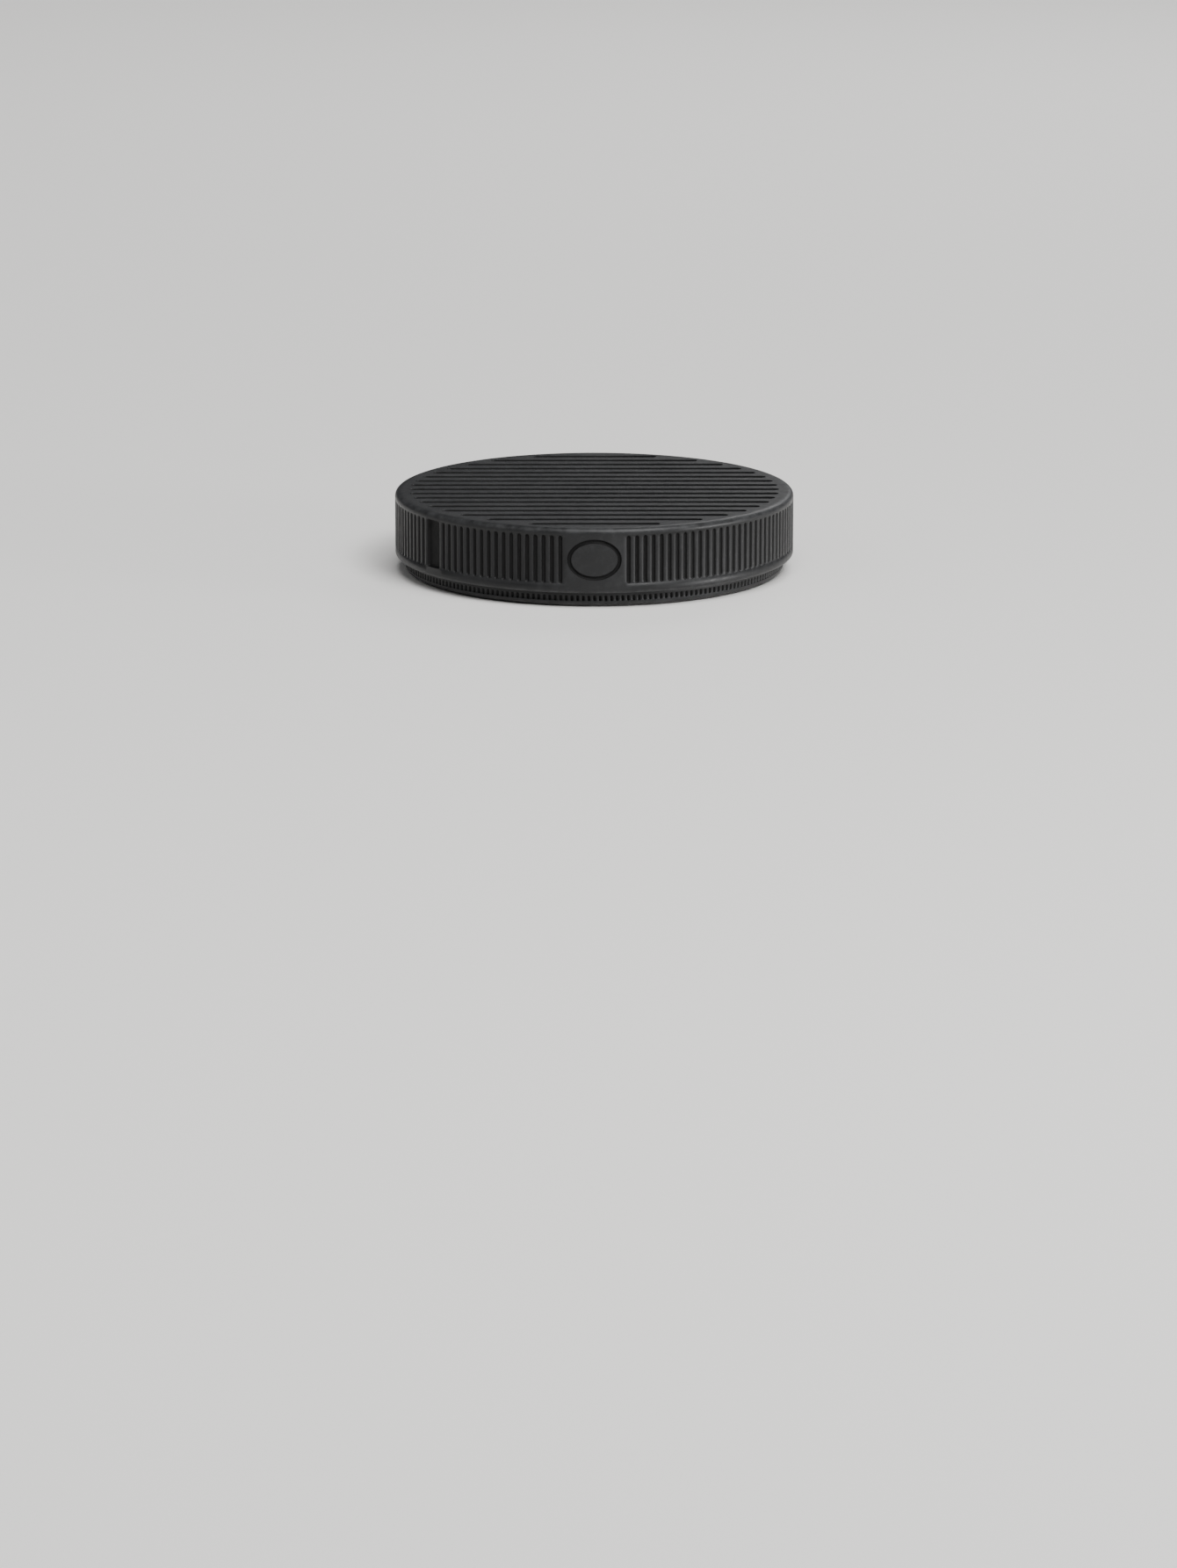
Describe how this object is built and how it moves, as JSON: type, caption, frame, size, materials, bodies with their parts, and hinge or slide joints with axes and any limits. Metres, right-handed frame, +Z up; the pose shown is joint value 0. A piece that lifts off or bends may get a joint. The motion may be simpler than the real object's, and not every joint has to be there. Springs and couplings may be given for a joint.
{
  "type": "hockey puck",
  "caption": "Round black off-ice hockey puck: a grip-edged cap over a narrower base, with a weighted rubber core inside and a glide ring below.",
  "frame": {"origin": "on the ground, at the middle of the puck's underside", "axes": "+Z up through the puck's middle, +X to the right, and the smooth badge panel on the cap's edge faces -Y"},
  "size_m": [0.0762, 0.0762, 0.0153],
  "materials": {
    "black_shell": "satin hard rubber with a fine moulded grain",
    "glide_plastic": "milky slippery plastic, scuffed where it slides",
    "ring_rubber": "smooth, slightly glossy",
    "core_rubber": "matte moulded rubber with pale crumbs",
    "weight_steel": "zinc-plated, turned",
    "pad_felt": "grey felt"
  },
  "bodies": {
    "base": {"base_shell": "black_shell", "glide_ring": "glide_plastic", "friction_ring": "ring_rubber"},
    "bottom_pad": {"bottom_pad": "pad_felt"},
    "core": {"rubber_core": "core_rubber"},
    "lower_weight": {"lower_weight": "weight_steel"},
    "upper_weight": {"upper_weight": "weight_steel"},
    "top_pad": {"top_pad": "pad_felt"},
    "cap": {"cap_shell": "black_shell"}
  },
  "joints": [
    {"name": "cap_turn", "type": "hinge", "parent": "base", "child": "bottom_pad", "pos_m": [0, 0, 0], "axis": [0, 0, 1], "continuous": true},
    {"name": "core_lift", "type": "slide", "parent": "bottom_pad", "child": "core", "axis": [0, 0, 1], "range_m": [0, 0.016]},
    {"name": "lower_weight_lift", "type": "slide", "parent": "core", "child": "lower_weight", "axis": [0, 0, 1], "range_m": [0, 0.012]},
    {"name": "upper_weight_lift", "type": "slide", "parent": "lower_weight", "child": "upper_weight", "axis": [0, 0, 1], "range_m": [0, 0.01]},
    {"name": "top_pad_lift", "type": "slide", "parent": "upper_weight", "child": "top_pad", "axis": [0, 0, 1], "range_m": [0, 0.01]},
    {"name": "cap_lift", "type": "slide", "parent": "top_pad", "child": "cap", "axis": [0, 0, 1], "range_m": [0, 0.022]}
  ]
}
